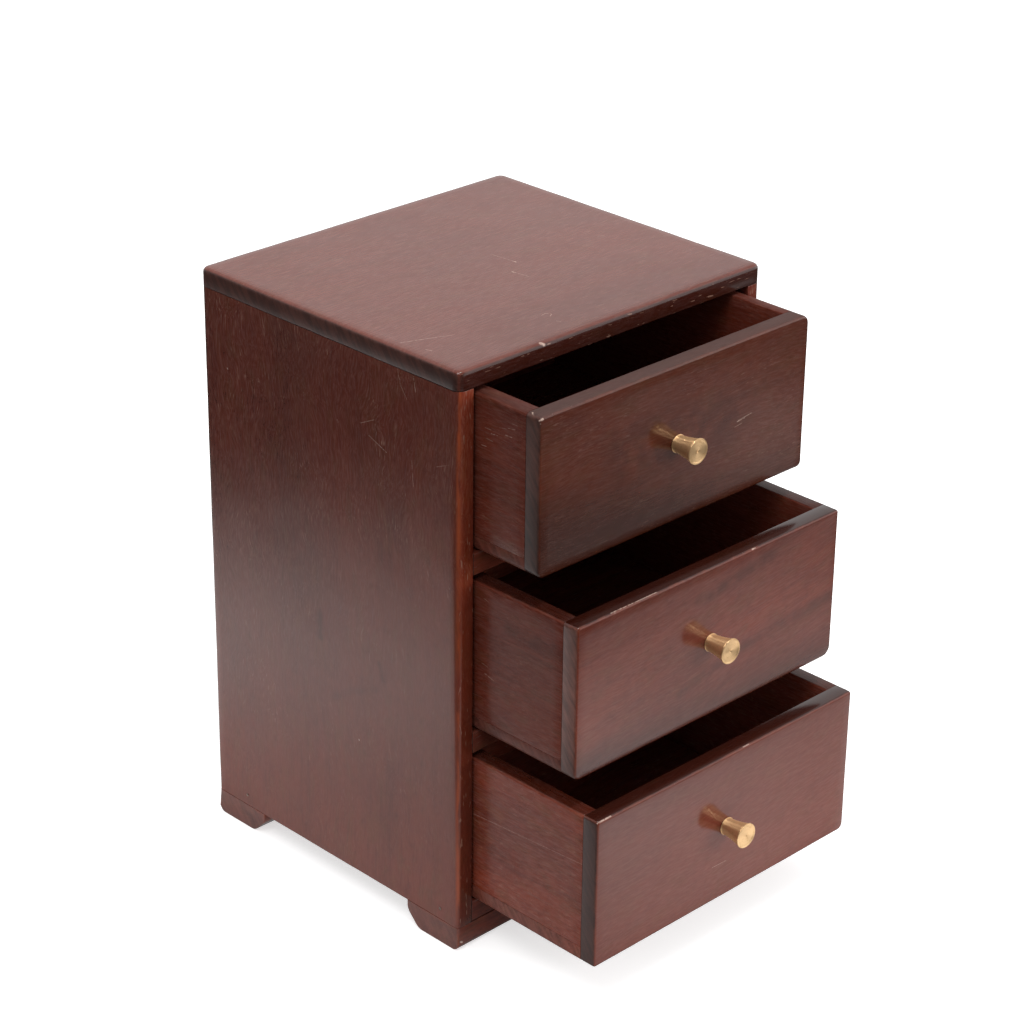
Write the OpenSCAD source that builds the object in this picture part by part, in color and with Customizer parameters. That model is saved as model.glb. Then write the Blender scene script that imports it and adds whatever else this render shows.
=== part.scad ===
// Desktop mini chest with three inset drawers, turned knobs and two runner feet.
// Millimetres, +X to the right, +Y to the back, +Z up; the case stands on z = 0.
// The drawers are drawn partly open, each by its own pull.

/* [Case] */
// Width over the two side panels
case_w = 200; // [140:1:300]
// Depth from the front edges to the back
case_d = 180; // [130:1:260]
// Thickness of each side panel
side_t = 9.5; // [8:0.5:14]
// Thickness of the top panel
top_t = 9.5; // [8:0.5:14]
// Thickness of the bottom board and the two dividers
shelf_t = 12; // [9:0.5:16]
// Thickness of the back panel
back_t = 12; // [6:0.5:14]
// Clear height of each drawer opening
opening_h = 81; // [50:1:120]
// Radius of the case's upright outer edges, from the feet up through the top panel's corners
upright_r = 3.5; // [1:0.25:5]
// Radius along the top panel's upper arris
top_arris_r = 1.8; // [0.5:0.1:3]
// Radius that softens the front arrises of the shelves and the ends of the runners
arris_r = 1.2; // [0.5:0.1:2]

/* [Feet] */
// Height of the runner feet
foot_h = 13; // [11:0.5:20]
// Depth of each runner, front to back
foot_d = 36; // [26:1:50]
// Chamfer along the runner's inner bottom edge
foot_chamfer = 8; // [4:0.5:10]
// Radius that blends both ends of that chamfer
foot_blend_r = 6; // [2:0.5:8]
// Radius of the runner's outer bottom edge
foot_outer_r = 4; // [2:0.5:6]

/* [Drawers] */
// How far each drawer stands open, lower drawer first
pulls = [80, 65, 40]; // [0:1:110]
// Thickness of the drawer fronts
front_t = 9; // [8:0.5:14]
// Thickness of the drawer sides
drawer_side_t = 8.5; // [7:0.5:12]
// Thickness of the drawer backs
drawer_back_t = 8.5; // [7:0.5:12]
// Thickness of the drawer bottoms
drawer_bottom_t = 7.5; // [6:0.5:12]
// Outline radii of the lower drawer, anticlockwise from its bottom left corner
lower_corner_r = [1, 3.5, 1.5, 1]; // [0.5:0.5:6]
// Outline radii of the middle drawer, in the same order
middle_corner_r = [3.5, 5, 1.5, 2]; // [0.5:0.5:6]
// Outline radii of the upper drawer, in the same order
upper_corner_r = [3.5, 3, 4.5, 2.5]; // [0.5:0.5:6]
// Radius round the face of each drawer front
front_arris_r = 1.4; // [0.5:0.1:2.5]
// Radius along the inner rims of the drawer boxes
tray_arris_r = 0.8; // [0.3:0.1:1.5]
// Gap on each side of a drawer
side_gap = 1.4; // [0.5:0.1:3]
// Gap above a drawer
head_gap = 2.2; // [0.5:0.1:4]
// Running gap under a drawer
run_gap = 0.3; // [0.2:0.05:1]
// Gap behind a closed drawer, where the back panel stops it
stop_gap = 0.5; // [0.3:0.1:3]

/* [Knobs] */
// Length of a knob from the drawer front to its face
knob_len = 12.5; // [10:0.5:25]
// Diameter of a knob's head
knob_head_d = 12.6; // [11:0.1:24]
// Diameter of the collar against the wood
knob_base_d = 9; // [8.8:0.1:16]
// Smallest diameter of the neck
knob_neck_d = 8.6; // [7:0.1:14]
// Thickness of that collar
knob_collar_t = 0.5; // [0.4:0.1:2]
// Length of the straight neck between the collar and the flare
knob_neck_len = 0.8; // [0.4:0.1:3]
// Thickness of the head's rim
knob_rim_t = 0.9; // [0.8:0.1:3]
// How far the rim stands out past the flare
knob_rim_step = 0.25; // [0.1:0.05:0.5]
// Depth of the dished face inside the rim
knob_dish_depth = 0.3; // [0.1:0.1:0.6]
// Width of the flat rim round the dished face
knob_rim_w = 0.8; // [0.5:0.1:1.5]
// Radius of the small centre mark that the lathe leaves
centre_mark_r = 0.7; // [0.3:0.1:1]
// Depth of that centre mark
centre_mark_depth = 0.4; // [0.2:0.1:0.8]

/* [Fasteners] */
// Diameter of the knob screws
screw_d = 4; // [3:0.5:5]
// Diameter of the knob screws' pan heads
screw_head_d = 8; // [6:0.5:10]
// Height of the knob screws' pan heads
screw_head_h = 2.6; // [2:0.1:3.5]
// Width of the screws' driving slot
screw_slot_w = 1; // [0.8:0.1:1.5]
// Length of thread held in a knob
screw_bite = 7; // [5:0.5:8]
// Radial clearance of a knob screw in the drawer front
screw_clearance = 0.2; // [0.1:0.05:0.5]
// Diameter of the panel pins
pin_d = 1.2; // [1:0.1:2]
// Diameter of the panel pins' heads
pin_head_d = 1.6; // [1.4:0.1:3]
// Length of the panel pins
pin_len = 22; // [16:1:30]
// Length of the thinner boards' pins
short_pin_len = 18; // [12:1:20]
// Diameter of the hidden dowels
dowel_d = 5; // [4:0.5:6]
// Length of the dowels
dowel_len = 18; // [12:1:26]
// How far a dowel enters the face of a panel
dowel_in_panel = 5.5; // [4:0.5:7]
// Distance of the outermost dowels from the front and the back
dowel_inset = 30; // [15:1:45]
// Distance of the bottom board's front pins from the front
side_pin_front = 12.5; // [8:0.5:30]
// Distance of the bottom board's rear pins from the back
side_pin_back = 23; // [18:0.5:40]
// Distance of the back panel's pins from the case's sides
back_pin_inset = 40; // [20:1:60]
// Distance of the runners' pins from their ends
foot_pin_inset = 25; // [15:1:60]
// How deep the runners' pins are sunk
foot_pin_sink = 1; // [0.5:0.1:3]
// Wood left over the points of the runners' pins
pin_cover = 2; // [1:0.5:5]
// Distance of a drawer's outermost pins from its front board and its back
tray_pin_inset = 18; // [12:1:40]
// How deep the drawers' bottom pins are sunk
tray_pin_sink = 0.5; // [0.3:0.1:1]

/* [Hidden] */

$fn = 64;
// Overrun of cutting shapes past the faces they cut
cut = 1;
// Radial gap between a pin, dowel or screw and its hole
hole_gap = 0.05;
// Extra depth at the bottom of a blind hole
blind_gap = 0.3;
// Height of a pin's countersunk head and length of its point, as shares of its diameter
pin_head_share = 0.6;
pin_point_share = 1.5;
// Radius of the small rounds on a turned brass edge
knob_edge_r = 0.4;

lower = 0;
middle = 1;
upper = 2;
left = -1;
right = 1;

// The origin is the middle of the footprint, open drawers and knobs included
reach = max(pulls) + knob_len;
front_y = (reach - case_d) / 2;
back_y = front_y + case_d;

inner_w = case_w - 2 * side_t;
shelf_d = case_d - back_t;
pitch = opening_h + shelf_t;
shelf_z = [for (i = [0:2]) foot_h + i * pitch];
side_top_z = shelf_z[upper] + pitch;

drawer_w = inner_w - 2 * side_gap;
drawer_h = opening_h - run_gap - head_gap;
drawer_len = shelf_d - stop_gap;
tray_len = drawer_len - front_t;
tray_h = drawer_h - drawer_bottom_t;
tray_inner_w = drawer_w - 2 * drawer_side_t;
knob_z = drawer_h / 2;
corner_r = [lower_corner_r, middle_corner_r, upper_corner_r];

// The runners' pins stop short of the bottom board's upper face
foot_pin_len = foot_h + shelf_t - foot_pin_sink - pin_cover;

wood = [0.27, 0.11, 0.08];
wood_side = [0.33, 0.14, 0.10];
wood_inner = [0.22, 0.10, 0.07];
brass = [0.80, 0.62, 0.32];
steel = [0.62, 0.62, 0.60];
beech = [0.76, 0.62, 0.45];

// ---- profiles and boards ----

// What a rounded corner takes away, for a corner at the origin that opens towards +x +y
module corner_waste(r) {
    difference() {
        translate([-cut, -cut]) square(r + cut);
        translate([r, r]) circle(r);
    }
}

// A rectangle w by h with its own radius at each corner, from the origin's corner anticlockwise
module eased_rect(w, h, r) {
    difference() {
        square([w, h]);
        if (r[0] > 0) corner_waste(r[0]);
        if (r[1] > 0) translate([w, 0]) mirror([1, 0]) corner_waste(r[1]);
        if (r[2] > 0) translate([w, h]) rotate(180) corner_waste(r[2]);
        if (r[3] > 0) translate([0, h]) mirror([0, 1]) corner_waste(r[3]);
    }
}

// A child profile drawn in (y, z), extruded along +X
module along_x(len) {
    rotate([90, 0, 90]) linear_extrude(len) children();
}

// A child profile drawn in (x, z), extruded along +Y
module along_y(len) {
    translate([0, len, 0]) rotate([90, 0, 0]) linear_extrude(len) children();
}

// A board rounded in plan, in side view and in front view
module eased_board(size, plan, side, front) {
    intersection() {
        linear_extrude(size[2]) eased_rect(size[0], size[1], plan);
        along_x(size[0]) eased_rect(size[1], size[2], side);
        along_y(size[1]) eased_rect(size[0], size[2], front);
    }
}

// ---- fasteners ----

// A panel pin along +Z, its head's face at z = 0
module pin(len) {
    head_h = pin_d * pin_head_share;
    point_h = pin_d * pin_point_share;
    rotate_extrude() polygon([
        [0, 0], [pin_head_d / 2, 0], [pin_d / 2, head_h],
        [pin_d / 2, len - point_h], [0, len]
    ]);
}

// The hole that takes that pin, open at its head
module pin_hole(len) {
    head_h = pin_d * pin_head_share;
    head_r = pin_head_d / 2 + hole_gap;
    shank_r = pin_d / 2 + hole_gap;
    rotate_extrude() polygon([
        [0, -cut], [head_r, -cut], [head_r, 0],
        [shank_r, head_h], [shank_r, len + blind_gap], [0, len + blind_gap]
    ]);
}

// Places of the pins through one side panel into the end of the bottom board
module at_side_pins(side) {
    for (y = [front_y + side_pin_front, back_y - side_pin_back]) {
        translate([side * case_w / 2, y, foot_h + shelf_t / 2]) rotate([0, -side * 90, 0]) children();
    }
}

// Places of the pins through the back panel into the shelves' rear edges
module at_back_pins() {
    for (z = shelf_z, side = [left, right]) {
        translate([side * (case_w / 2 - back_pin_inset), back_y, z + shelf_t / 2])
            rotate([90, 0, 0]) children();
    }
}

// Places of the pins through the runners into the bottom board, heads sunk in the underside
module at_foot_pins() {
    for (side = [left, right], y = [front_y + foot_d / 2, back_y - foot_d / 2]) {
        translate([side * (case_w / 2 - foot_pin_inset), y, foot_pin_sink]) children();
    }
}

// Places of the dowels from the side panels' tops up into the top panel, at their lower ends
module at_top_dowels(sides) {
    for (side = sides, y = [front_y + dowel_inset, front_y + case_d / 2, back_y - dowel_inset]) {
        translate([side * (case_w - side_t) / 2, y, side_top_z + dowel_in_panel - dowel_len]) children();
    }
}

// Places of the dowels from the two dividers' ends into the side panels, at their inner ends
module at_divider_dowels(sides) {
    x = inner_w / 2 + dowel_in_panel - dowel_len;
    for (side = sides, level = [middle, upper], y = [dowel_inset, shelf_d - dowel_inset]) {
        translate([side * x, front_y + y, shelf_z[level] + shelf_t / 2]) rotate([0, side * 90, 0]) children();
    }
}

module dowel() {
    cylinder(h = dowel_len, d = dowel_d);
}

module dowel_hole() {
    translate([0, 0, -blind_gap]) cylinder(h = dowel_len + 2 * blind_gap, d = dowel_d + 2 * hole_gap);
}

// ---- case ----

module top_panel() {
    color(wood) difference() {
        translate([-case_w / 2, front_y, side_top_z]) eased_board(
            [case_w, case_d, top_t],
            [upright_r, upright_r, upright_r, upright_r],
            [0, 0, top_arris_r, top_arris_r],
            [0, 0, top_arris_r, top_arris_r]
        );
        at_top_dowels([left, right]) dowel_hole();
    }
}

module side_panel(side) {
    plan = side == left ? [upright_r, 0, 0, upright_r] : [0, upright_r, upright_r, 0];
    x = side == left ? -case_w / 2 : case_w / 2 - side_t;
    color(wood_side) difference() {
        translate([x, front_y, foot_h]) linear_extrude(side_top_z - foot_h) eased_rect(side_t, case_d, plan);
        at_side_pins(side) pin_hole(pin_len);
        at_top_dowels([side]) dowel_hole();
        at_divider_dowels([side]) dowel_hole();
    }
}

module shelf(level) {
    color(wood) difference() {
        translate([-inner_w / 2, front_y, shelf_z[level]])
            along_x(inner_w) eased_rect(shelf_d, shelf_t, [arris_r, 0, 0, arris_r]);
        at_back_pins() pin_hole(pin_len);
        if (level == lower) {
            at_side_pins(left) pin_hole(pin_len);
            at_side_pins(right) pin_hole(pin_len);
            at_foot_pins() pin_hole(foot_pin_len);
        } else {
            at_divider_dowels([left, right]) dowel_hole();
        }
    }
}

module back_panel() {
    color(wood_inner) difference() {
        translate([-inner_w / 2, back_y - back_t, foot_h]) cube([inner_w, back_t, side_top_z - foot_h]);
        at_back_pins() pin_hole(pin_len);
    }
}

// What the blend takes away where the runner's underside meets the 45 degree chamfer
module chamfer_blend_waste() {
    tangent = foot_blend_r * tan(22.5);
    edge = foot_d - foot_chamfer;
    slope = sin(45);
    difference() {
        polygon([
            [edge - tangent, 0], [edge - tangent, -cut],
            [edge + (tangent + cut) * slope, (tangent - cut) * slope],
            [edge + tangent * slope, tangent * slope]
        ]);
        translate([edge - tangent, foot_blend_r]) circle(foot_blend_r);
    }
}

// A runner's end profile, its outer face at y = 0: round outside, chamfered inside
module runner_profile() {
    edge = foot_d - foot_chamfer;
    difference() {
        eased_rect(foot_d, foot_h, [foot_outer_r, 0, 0, 0]);
        polygon([[edge - cut, -cut], [foot_d + cut, -cut], [foot_d + cut, foot_chamfer + cut]]);
        chamfer_blend_waste();
        translate([foot_d, foot_d]) mirror([1, 1]) chamfer_blend_waste();
    }
}

// A whole runner: its outer face is flush with the case and its upright corners follow the side panels'
module runner() {
    intersection() {
        along_x(case_w) runner_profile();
        linear_extrude(foot_h) eased_rect(case_w, foot_d, [upright_r, upright_r, 0, 0]);
        along_y(foot_d) eased_rect(case_w, foot_h, [arris_r, arris_r, 0, 0]);
    }
}

module foot_runner(rear) {
    color(wood) difference() {
        if (rear) {
            translate([-case_w / 2, back_y, 0]) mirror([0, 1, 0]) runner();
        } else {
            translate([-case_w / 2, front_y, 0]) runner();
        }
        at_foot_pins() pin_hole(foot_pin_len);
    }
}

// ---- drawers, each in its own frame: x = 0 in the middle, y = 0 at the front face, z = 0 below ----
// The sides and the bottom follow the outline of the front, which was sanded on the finished box

module in_place(level) {
    translate([0, front_y - pulls[level], shelf_z[level] + shelf_t + run_gap]) children();
}

// Places of the pins up through the bottom into the two sides, heads sunk in the underside
module at_bottom_pins() {
    for (side = [left, right], y = [tray_pin_inset, tray_len / 2, tray_len - tray_pin_inset]) {
        translate([side * (drawer_w - drawer_side_t) / 2, front_t + y, tray_pin_sink]) children();
    }
}

// Places of the pins through the two sides into the ends of the back
module at_corner_pins() {
    for (side = [left, right], z = [tray_pin_inset, tray_h - tray_pin_inset]) {
        translate([side * drawer_w / 2, drawer_len - drawer_back_t / 2, drawer_bottom_t + z])
            rotate([0, -side * 90, 0]) children();
    }
}

module drawer_front(level) {
    color(wood) in_place(level) difference() {
        translate([-drawer_w / 2, 0, 0]) eased_board(
            [drawer_w, front_t, drawer_h],
            [front_arris_r, front_arris_r, 0, 0],
            [front_arris_r, 0, tray_arris_r, front_arris_r],
            corner_r[level]
        );
        translate([0, -cut, knob_z]) rotate([-90, 0, 0])
            cylinder(h = front_t + 2 * cut, d = screw_d + 2 * screw_clearance);
    }
}

module drawer_side(level, side) {
    x = side == left ? -drawer_w / 2 : drawer_w / 2 - drawer_side_t;
    r = corner_r[level];
    rim = side == left ? [0, 0, tray_arris_r, r[3]] : [0, 0, r[2], tray_arris_r];
    color(wood_side) in_place(level) difference() {
        translate([x, front_t, drawer_bottom_t]) along_y(tray_len) eased_rect(drawer_side_t, tray_h, rim);
        at_bottom_pins() pin_hole(short_pin_len);
        at_corner_pins() pin_hole(short_pin_len);
    }
}

module drawer_back(level) {
    color(wood_inner) in_place(level) difference() {
        translate([-tray_inner_w / 2, drawer_len - drawer_back_t, drawer_bottom_t])
            along_x(tray_inner_w) eased_rect(drawer_back_t, tray_h, [0, 0, tray_arris_r, tray_arris_r]);
        at_corner_pins() pin_hole(short_pin_len);
    }
}

module drawer_bottom(level) {
    r = corner_r[level];
    color(wood_inner) in_place(level) difference() {
        translate([-drawer_w / 2, front_t, 0])
            along_y(tray_len) eased_rect(drawer_w, drawer_bottom_t, [r[0], r[1], 0, 0]);
        at_bottom_pins() pin_hole(short_pin_len);
    }
}

module drawer_pins(level) {
    color(steel) in_place(level) {
        at_bottom_pins() pin(short_pin_len);
        at_corner_pins() pin(short_pin_len);
    }
}

// ---- knobs ----

// The flare is one arc, tangent to the straight neck and ending under the rim
flare_start = knob_collar_t + knob_neck_len;
flare_rise = knob_len - knob_rim_t - flare_start;
flare_out = (knob_head_d - knob_neck_d) / 2 - knob_rim_step;
flare_r = (flare_rise * flare_rise + flare_out * flare_out) / (2 * flare_out);

// Half of the knob's section: x is the radius, y the distance from the drawer front
module knob_profile() {
    neck_r = knob_neck_d / 2;
    head_r = knob_head_d / 2;
    dish_r = head_r - knob_rim_w;
    rim_y = knob_len - knob_rim_t;
    thread_depth = screw_bite + 2 * blind_gap;
    difference() {
        union() {
            eased_rect(knob_base_d / 2, knob_collar_t, [0, 0, knob_edge_r, 0]);
            square([neck_r, rim_y + knob_rim_t / 2]);
            difference() {
                translate([0, flare_start]) square([neck_r + flare_out, flare_rise + knob_rim_t / 2]);
                translate([neck_r + flare_r, flare_start]) circle(flare_r, $fn = 128);
            }
            translate([0, rim_y]) eased_rect(head_r, knob_rim_t, [0, knob_edge_r, knob_edge_r, 0]);
        }
        translate([-cut, knob_len - knob_dish_depth]) square([dish_r + cut, knob_dish_depth + cut]);
        translate([-cut, -cut]) square([screw_d / 2 + hole_gap + cut, thread_depth + cut]);
    }
}

module knob(level) {
    face = knob_len - knob_dish_depth;
    mark_slope = centre_mark_r / centre_mark_depth;
    color(brass) in_place(level) translate([0, 0, knob_z]) rotate([90, 0, 0]) difference() {
        rotate_extrude() knob_profile();
        translate([0, 0, face - centre_mark_depth])
            cylinder(h = centre_mark_depth + cut, r1 = 0, r2 = (centre_mark_depth + cut) * mark_slope);
    }
}

// A pan head screw from inside the drawer, through the front and into the knob
module knob_screw(level) {
    shank_len = front_t + screw_bite;
    slot_depth = screw_head_h / 2;
    color(steel) in_place(level) translate([0, front_t, knob_z]) rotate([-90, 0, 0]) difference() {
        union() {
            rotate_extrude() eased_rect(screw_head_d / 2, screw_head_h, [0, 0, screw_head_h / 2, 0]);
            translate([0, 0, -shank_len]) cylinder(h = shank_len + screw_head_h / 2, d = screw_d);
        }
        translate([-screw_head_d / 2 - cut, -screw_slot_w / 2, screw_head_h - slot_depth])
            cube([screw_head_d + 2 * cut, screw_slot_w, slot_depth + cut]);
    }
}

// ---- nodes ----

top_panel();
side_panel(left);  // side_panel_left
side_panel(right);  // side_panel_right
shelf(upper);  // upper_divider
shelf(middle);  // lower_divider
shelf(lower);  // bottom_board
back_panel();
foot_runner(false);  // foot_runner_front
foot_runner(true);  // foot_runner_rear
color(beech) at_top_dowels([left, right]) dowel();  // top_dowels
color(beech) at_divider_dowels([left, right]) dowel();  // divider_dowels
color(steel) at_side_pins(left) pin(pin_len);  // side_pins_left
color(steel) at_side_pins(right) pin(pin_len);  // side_pins_right
color(steel) at_back_pins() pin(pin_len);  // back_pins
color(steel) at_foot_pins() pin(foot_pin_len);  // foot_pins

drawer_front(lower);  // lower_drawer_front
drawer_side(lower, left);  // lower_drawer_side_left
drawer_side(lower, right);  // lower_drawer_side_right
drawer_back(lower);  // lower_drawer_back
drawer_bottom(lower);  // lower_drawer_bottom
drawer_pins(lower);  // lower_drawer_pins
knob(lower);  // lower_drawer_knob
knob_screw(lower);  // lower_drawer_screw

drawer_front(middle);  // middle_drawer_front
drawer_side(middle, left);  // middle_drawer_side_left
drawer_side(middle, right);  // middle_drawer_side_right
drawer_back(middle);  // middle_drawer_back
drawer_bottom(middle);  // middle_drawer_bottom
drawer_pins(middle);  // middle_drawer_pins
knob(middle);  // middle_drawer_knob
knob_screw(middle);  // middle_drawer_screw

drawer_front(upper);  // upper_drawer_front
drawer_side(upper, left);  // upper_drawer_side_left
drawer_side(upper, right);  // upper_drawer_side_right
drawer_back(upper);  // upper_drawer_back
drawer_bottom(upper);  // upper_drawer_bottom
drawer_pins(upper);  // upper_drawer_pins
knob(upper);  // upper_drawer_knob
knob_screw(upper);  // upper_drawer_screw
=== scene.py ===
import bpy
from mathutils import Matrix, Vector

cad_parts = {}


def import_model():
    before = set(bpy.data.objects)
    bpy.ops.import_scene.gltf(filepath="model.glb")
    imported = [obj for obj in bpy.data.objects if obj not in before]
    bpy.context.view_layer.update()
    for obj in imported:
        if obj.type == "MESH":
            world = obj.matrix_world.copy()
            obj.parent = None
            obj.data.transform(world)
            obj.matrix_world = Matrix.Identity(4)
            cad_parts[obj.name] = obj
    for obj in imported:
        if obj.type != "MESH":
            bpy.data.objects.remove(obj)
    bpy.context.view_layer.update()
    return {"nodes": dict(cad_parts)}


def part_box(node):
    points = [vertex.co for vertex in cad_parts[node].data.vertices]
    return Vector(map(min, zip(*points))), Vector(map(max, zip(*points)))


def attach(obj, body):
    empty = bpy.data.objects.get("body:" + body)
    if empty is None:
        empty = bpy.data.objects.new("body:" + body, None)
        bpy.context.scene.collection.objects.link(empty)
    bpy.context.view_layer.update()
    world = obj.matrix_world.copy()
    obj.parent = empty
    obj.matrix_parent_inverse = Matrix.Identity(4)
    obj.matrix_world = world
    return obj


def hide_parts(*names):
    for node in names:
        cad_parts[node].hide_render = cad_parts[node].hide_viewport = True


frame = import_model()

import math
from types import SimpleNamespace

import bmesh
import bpy
from mathutils import Matrix, Vector

MM = 0.001
# Two places closer than this are the same
CLOSE = 1e-6

# Roundings of the boards, and the steps that make a corner, an arris, a softened edge and a seam round
UPRIGHT_FOOT = 2.0 * MM
UPRIGHT_TOP = 4.4 * MM
TOP_ARRIS = 2.6 * MM
ARRIS = 1.2 * MM
FRONT_ARRIS = 1.4 * MM
SOFT = 0.8 * MM
JOINT = 0.4 * MM
TRAY_JOINT = 0.15 * MM
RUNNER_ROUND = 4.0 * MM
RUNNER_CHAMFER = 8.0 * MM
RUNNER_BLEND = 2.4 * MM
CORNER_STEPS = 6
ARRIS_STEPS = 4
SOFT_STEPS = 3
SEAM_STEPS = 2

# How unevenly the boards were sanded: most of all, on thin boards and on the drawers' fronts
SANDING = 0.25 * MM
THIN_SANDING = SANDING / 2
FRONT_SANDING = SANDING * 0.6
SANDING_WAVE = 22 * MM
# The spacing of the cuts that carry it, and the shortest side that is cut
CUT_STEP = 6 * MM
SHORTEST_CUT = 5 * CUT_STEP

# Degrees by which a sharp edge turns at least, and up to which a board's and a knob's faces are shaded as one
SHARP_TURN = 60
BOARD_SMOOTH = 35
KNOB_SMOOTH = 28

DRAWERS = ("lower", "middle", "upper")

# Outline radii of each drawer: bottom left, bottom right, top right and top left
OUTLINES = {
    "lower": (1.6 * MM, 3.5 * MM, 1.6 * MM, 1.6 * MM),
    "middle": (3.5 * MM, 5.0 * MM, 1.6 * MM, 2.0 * MM),
    "upper": (3.5 * MM, 3.0 * MM, 4.5 * MM, 2.5 * MM),
}

# ---- modelling helpers ----


def select_nothing():
    if bpy.context.mode != "OBJECT":
        bpy.ops.object.mode_set(mode="OBJECT")
    bpy.ops.object.select_all(action="DESELECT")


def pick(piece):
    select_nothing()
    piece.select_set(True)
    bpy.context.view_layer.objects.active = piece


def edit(piece, kind="EDGE"):
    """Opens a piece in edit mode with nothing selected and gives its editable mesh."""
    pick(piece)
    bpy.ops.object.mode_set(mode="EDIT")
    bpy.ops.mesh.select_mode(type=kind)
    bpy.ops.mesh.select_all(action="DESELECT")
    return bmesh.from_edit_mesh(piece.data)


def leave_edit():
    bpy.ops.object.mode_set(mode="OBJECT")


def on_plane(vert, axis, at):
    return abs(vert.co[axis] - at) < CLOSE


def block(name, low, high):
    """A block between two corners, with its place in its mesh."""
    select_nothing()
    bpy.ops.mesh.primitive_cube_add(size=1, location=(low + high) / 2, scale=high - low)
    piece = bpy.context.active_object
    piece.name = name
    piece.data.name = name
    bpy.ops.object.transform_apply(location=True, rotation=True, scale=True)
    return piece


def side_of(side, low, high):
    """Axis number and place of a face named like '-x' or '+z'."""
    axis = "xyz".index(side[1])
    return axis, (low if side[0] == "-" else high)[axis]


def bevel(mesh, radius, steps):
    """Rounds the selected edges and leaves edit mode."""
    mesh.select_flush_mode()
    bpy.ops.mesh.bevel(offset=radius, segments=steps, profile=0.5, affect="EDGES")
    leave_edit()


def round_edges(piece, low, high, pairs, radius, steps):
    """Bevels each edge between two named faces, such as '-y+z' for the front top edge."""
    mesh = edit(piece)
    for pair in pairs:
        faces = [side_of(pair[:2], low, high), side_of(pair[2:], low, high)]
        for edge in mesh.edges:
            if all(on_plane(vert, *face) for vert in edge.verts for face in faces):
                edge.select = True
    bevel(mesh, radius, steps)


def round_rims(piece, low, high, sides, radius, steps):
    """Bevels all round the outline of each named face."""
    mesh = edit(piece)
    for side in sides:
        plane = side_of(side, low, high)
        for edge in mesh.edges:
            on_face = [all(on_plane(vert, *plane) for vert in face.verts) for face in edge.link_faces]
            if any(on_face) and not all(on_face):
                edge.select = True
    bevel(mesh, radius, steps)


def widen_rounding(piece, low, high, corners, radius, upper_radius):
    """Makes the rounding of an upright edge wider towards its upper end."""
    for corner in corners:
        mesh = edit(piece, "VERT")
        ends = [side_of(corner[:2], low, high), side_of(corner[2:], low, high)]
        for vert in mesh.verts:
            near = all(abs(vert.co[axis] - at) < radius + CLOSE for axis, at in ends)
            vert.select = near and on_plane(vert, 2, high.z)
        mesh.select_flush_mode()
        edge_place = [0.0, 0.0, high.z]
        for axis, at in ends:
            edge_place[axis] = at
        grow = upper_radius / radius
        bpy.ops.transform.resize(value=(grow, grow, 1), center_override=edge_place)
        leave_edit()


def break_sharp(piece, radius=JOINT, steps=SEAM_STEPS):
    """Takes the last sharpness off every edge that is still sharp."""
    mesh = edit(piece)
    for edge in mesh.edges:
        edge.select = edge.is_manifold and edge.calc_face_angle(0) > math.radians(SHARP_TURN)
    bevel(mesh, radius, steps)


def hand_sand(piece, low, high, depth=SANDING):
    """Cuts the board up and sinks its surface by a little, never outwards."""
    edit(piece)
    for axis in range(3):
        normal = [0.0, 0.0, 0.0]
        normal[axis] = 1.0
        length = high[axis] - low[axis]
        count = int(length / CUT_STEP) if length > SHORTEST_CUT else 0
        for step in range(1, count):
            place = [0.0, 0.0, 0.0]
            place[axis] = low[axis] + length * step / count
            bpy.ops.mesh.select_all(action="SELECT")
            bpy.ops.mesh.bisect(plane_co=place, plane_no=normal)
    leave_edit()
    waves = bpy.data.textures.new(piece.name + "_waves", "CLOUDS")
    waves.noise_scale = SANDING_WAVE
    waves.noise_depth = 2
    pick(piece)
    bpy.ops.object.modifier_add(type="DISPLACE")
    sanding = piece.modifiers[-1]
    sanding.texture = waves
    sanding.strength = depth
    sanding.mid_level = 1.0
    bpy.ops.object.modifier_apply(modifier=sanding.name)


def finish(piece, node, body, material, degrees=BOARD_SMOOTH):
    """Smooths a piece and puts it in the place of its CAD node."""
    pick(piece)
    bpy.ops.object.shade_smooth_by_angle(angle=math.radians(degrees))
    piece.data.materials.clear()
    piece.data.materials.append(material)
    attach(piece, body)
    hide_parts(node)


# ---- node helpers ----


def new_material(name):
    material = bpy.data.materials.new(name)
    material.use_nodes = True
    tree = material.node_tree
    tree.nodes.clear()
    output = tree.nodes.new("ShaderNodeOutputMaterial")
    shader = tree.nodes.new("ShaderNodeBsdfPrincipled")
    tree.links.new(shader.outputs[0], output.inputs["Surface"])
    return material, tree, shader


def coat(tree, shader, colour, roughness, height, relief):
    """Gives a finish its colour, its roughness and the relief of its surface."""
    strength, depth = relief
    bump = add(tree, "Bump", {"Height": height, "Strength": strength, "Distance": depth})[0]
    for name, value in (("Base Color", colour), ("Roughness", roughness), ("Normal", bump)):
        tree.links.new(value, shader.inputs[name])


def feed(tree, socket, value):
    if isinstance(value, bpy.types.NodeSocket):
        tree.links.new(value, socket)
    else:
        socket.default_value = value


def add(tree, kind, inputs, **settings):
    """A node with its settings; each input is a value or the socket that feeds it."""
    node = tree.nodes.new("ShaderNode" + kind)
    for key, value in settings.items():
        setattr(node, key, value)
    for key, value in inputs.items():
        feed(tree, node.inputs[key], value)
    return node.outputs


def maths(tree, operation, a, b):
    return add(tree, "Math", {0: a, 1: b}, operation=operation)[0]


def chain(tree, operation, values):
    """One operation over all the values, from the first to the last."""
    running = values[0]
    for value in values[1:]:
        running = maths(tree, operation, running, value)
    return running


def times(tree, *values):
    return chain(tree, "MULTIPLY", values)


def total(tree, *values):
    return chain(tree, "ADD", values)


def most(tree, *values):
    return chain(tree, "MAXIMUM", values)


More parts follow.
